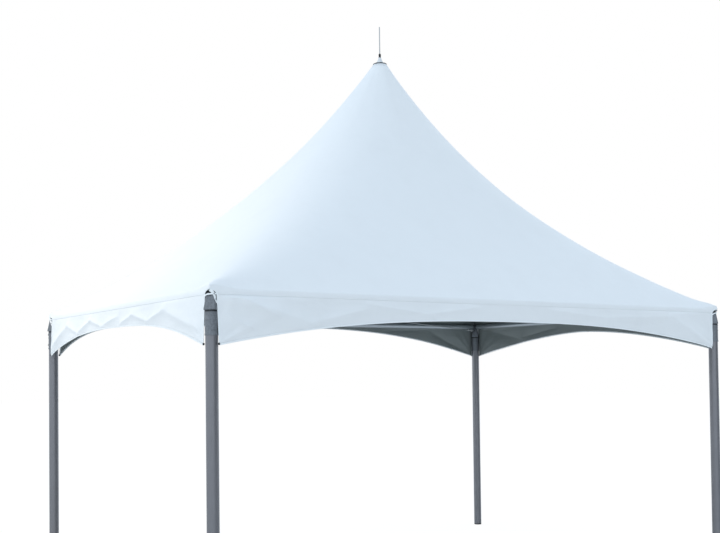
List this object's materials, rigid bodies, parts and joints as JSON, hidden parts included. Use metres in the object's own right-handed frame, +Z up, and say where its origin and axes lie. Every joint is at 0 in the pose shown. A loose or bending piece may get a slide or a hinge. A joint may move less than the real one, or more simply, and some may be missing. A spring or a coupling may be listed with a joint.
{
  "type": "marquee tent",
  "caption": "Free-standing peaked marquee: a tensioned fabric roof and arched valances on a light metal frame with a centre mast.",
  "frame": {"origin": "on the ground at the centre of the four legs", "axes": "+Z up, -Y out of the long front side, X along it"},
  "size_m": [4.662, 3.142, 4.5449],
  "materials": {
    "roof_fabric": "satin coated fabric",
    "valance_fabric": "satin coated fabric",
    "leg_tube": "satin anodised",
    "beam_tube": "mill",
    "casting": "dark galvanised",
    "steel": "galvanised",
    "foot_plastic": "moulded",
    "pale_plastic": "moulded"
  },
  "bodies": {
    "root": {"leg_front_left": "leg_tube", "leg_front_right": "leg_tube", "leg_back_right": "leg_tube", "leg_back_left": "leg_tube", "foot_cap_front_left": "foot_plastic", "foot_cap_front_right": "foot_plastic", "foot_cap_back_right": "foot_plastic", "foot_cap_back_left": "foot_plastic", "corner_fitting_front_left": "casting", "corner_fitting_front_right": "casting", "corner_fitting_back_right": "casting", "corner_fitting_back_left": "casting", "turnbuckle_front_left": "steel", "turnbuckle_front_right": "steel", "turnbuckle_back_right": "steel", "turnbuckle_back_left": "steel", "tie_cable_front_left": "steel", "tie_cable_front_right": "steel", "tie_cable_back_right": "steel", "tie_cable_back_left": "steel", "eave_beam_front": "beam_tube", "eave_beam_right": "beam_tube", "eave_beam_back": "beam_tube", "eave_beam_left": "beam_tube", "roof_front": "roof_fabric", "roof_right": "roof_fabric", "roof_back": "roof_fabric", "roof_left": "roof_fabric", "valance_front": "valance_fabric", "valance_right": "valance_fabric", "valance_back": "valance_fabric", "valance_left": "valance_fabric", "mast": "beam_tube", "mast_hub": "casting", "mast_crown": "casting", "peak_ring": "casting", "finial_cone": "pale_plastic", "finial_collar": "casting", "finial_rod": "steel"}
  },
  "joints": []
}
